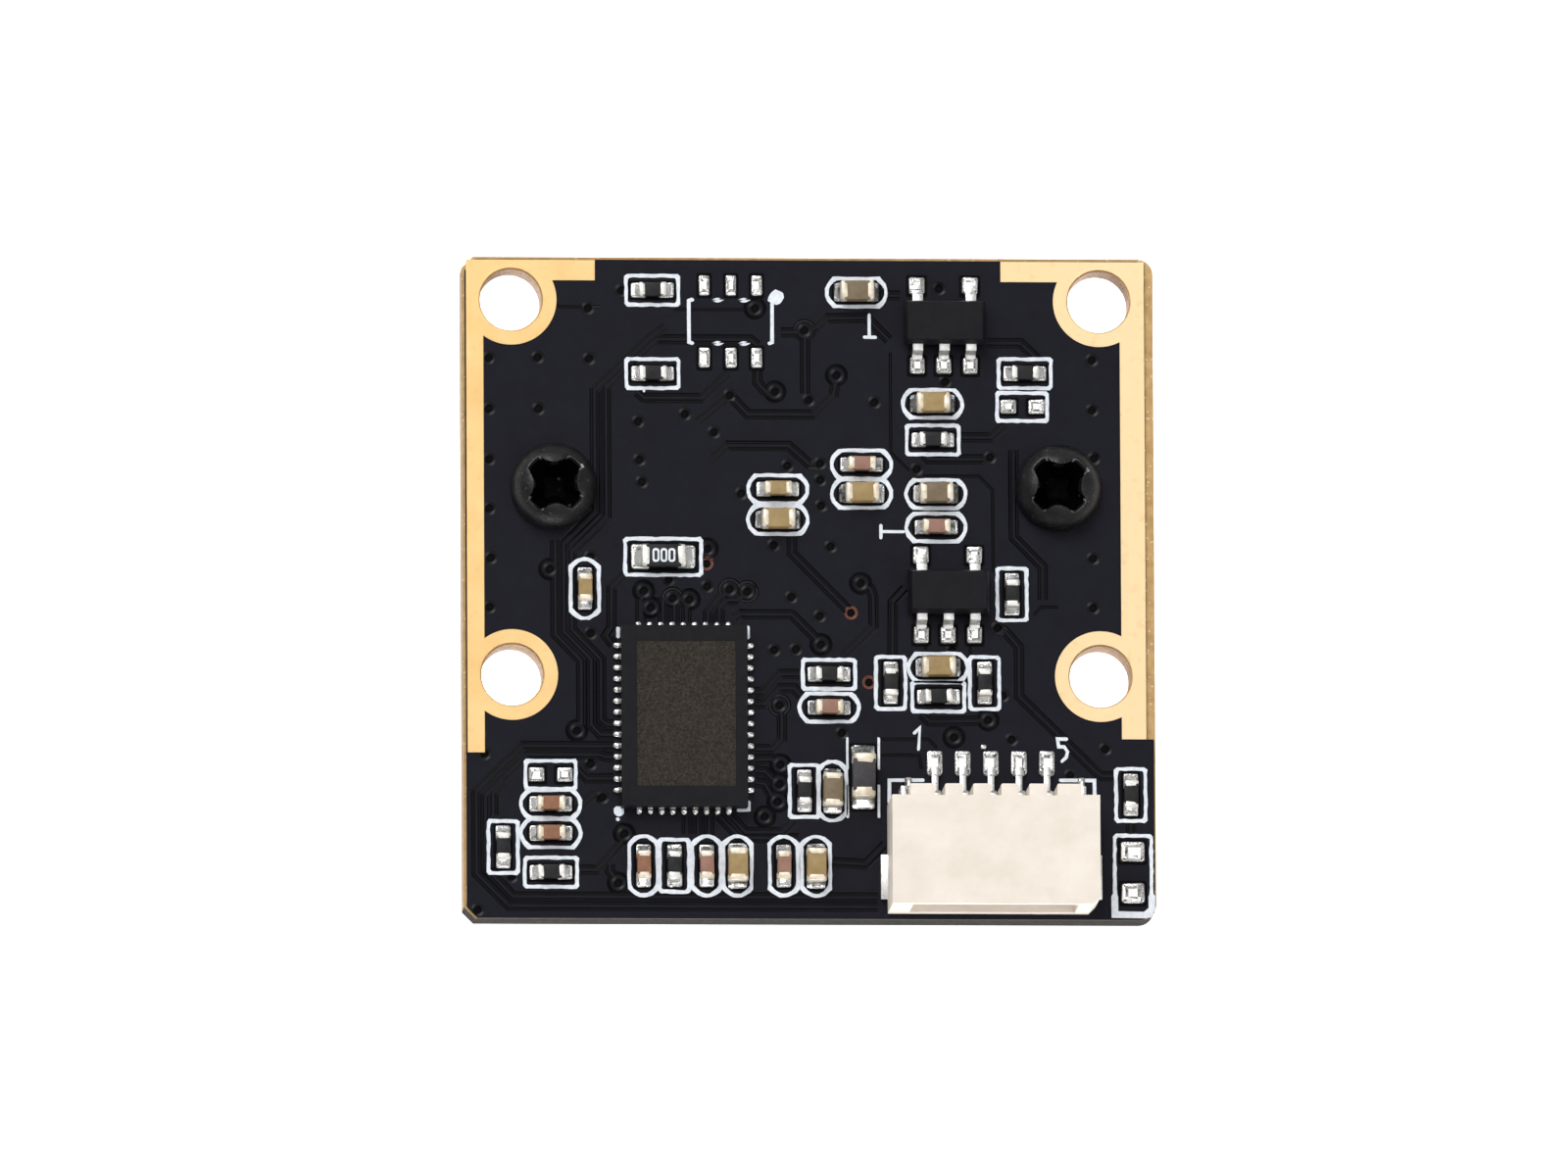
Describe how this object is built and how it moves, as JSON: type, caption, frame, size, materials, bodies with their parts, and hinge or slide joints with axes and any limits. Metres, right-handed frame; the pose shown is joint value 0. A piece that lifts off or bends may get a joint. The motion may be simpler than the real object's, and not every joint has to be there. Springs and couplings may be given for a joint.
{
  "type": "camera module",
  "caption": "bare board camera: square black circuit board with gold edge plating, mounting holes, chip parts, a side-entry connector and a screw-in lens on the other side",
  "frame": {"origin": "middle of the board's outline in X and Y, and the front rim of the lens in Z; the part stands on that rim with its component side up", "axes": "+Z from the lens rim up to the component side, +X along the longer side of the board, +Y away from the connector"},
  "size_m": [0.0248, 0.0238, 0.0231],
  "materials": {
    "solder_mask": "satin black solder mask over glass-fibre laminate, with the relief of traces and via dimples",
    "gold_plating": "soft gold plating, slightly dull",
    "print_white": "matt white printed ink",
    "solder": "bright uneven tin solder",
    "black_screw": "black oxide steel, worn a little bright at the edges",
    "black_plastic": "matt black moulded plastic",
    "black_metal": "black anodised aluminium",
    "lens_glass": "polished glass with a blue-green coating",
    "filter_glass": "thin filter glass with a faint cyan tint",
    "cover_glass": "clear flat glass",
    "sensor_package": "dark fired ceramic",
    "silicon": "polished silicon with a faint colour play",
    "chip_plastic": "fine-grained black moulding compound",
    "lead_metal": "tinned copper",
    "ivory_nylon": "ivory moulded nylon, slightly glossy",
    "capacitor_tan": "tan ceramic with tinned end caps",
    "capacitor_brown": "red-brown ceramic with tinned end caps",
    "capacitor_grey": "grey-tan ceramic with tinned end caps",
    "resistor_black": "black glaze over alumina with tinned end caps",
    "bead_grey": "dark grey ferrite with silvery end caps"
  },
  "bodies": {
    "root": {"circuit_board": "solder_mask", "edge_plating": "gold_plating", "silkscreen": "print_white", "solder_joints": "solder", "lens_screws": "black_screw", "lens_holder": "black_plastic", "lens_barrel": "black_metal", "retaining_ring": "black_metal", "front_element": "lens_glass", "element_spacer": "black_metal", "middle_element": "lens_glass", "aperture_stop": "black_metal", "rear_element": "lens_glass", "ir_filter": "filter_glass", "image_sensor": "sensor_package", "sensor_die": "silicon", "sensor_cover_glass": "cover_glass", "controller_chip": "chip_plastic", "controller_leads": "lead_metal", "regulator_upper": "chip_plastic", "regulator_lower": "chip_plastic", "regulator_leads": "lead_metal", "connector_housing": "ivory_nylon", "connector_pins": "lead_metal", "connector_tabs": "lead_metal", "zero_ohm_link": "resistor_black", "ferrite_bead": "bead_grey", "capacitor_01": "capacitor_tan", "capacitor_02": "capacitor_tan", "capacitor_03": "capacitor_brown", "capacitor_04": "capacitor_tan", "capacitor_05": "capacitor_grey", "capacitor_06": "capacitor_brown", "capacitor_07": "capacitor_tan", "capacitor_08": "capacitor_tan", "capacitor_09": "capacitor_tan", "capacitor_10": "capacitor_brown", "capacitor_11": "capacitor_tan", "capacitor_12": "capacitor_grey", "capacitor_13": "capacitor_brown", "capacitor_14": "capacitor_brown", "capacitor_15": "capacitor_brown", "capacitor_16": "capacitor_brown", "capacitor_17": "capacitor_tan", "capacitor_18": "capacitor_brown", "capacitor_19": "capacitor_tan", "resistor_01": "resistor_black", "resistor_02": "resistor_black", "resistor_03": "resistor_black", "resistor_04": "resistor_black", "resistor_05": "resistor_black", "resistor_06": "resistor_black", "resistor_07": "resistor_black", "resistor_08": "resistor_black", "resistor_09": "resistor_black", "resistor_10": "resistor_black", "resistor_11": "resistor_black", "resistor_12": "resistor_black", "resistor_13": "resistor_black", "resistor_14": "resistor_black"}
  },
  "joints": []
}
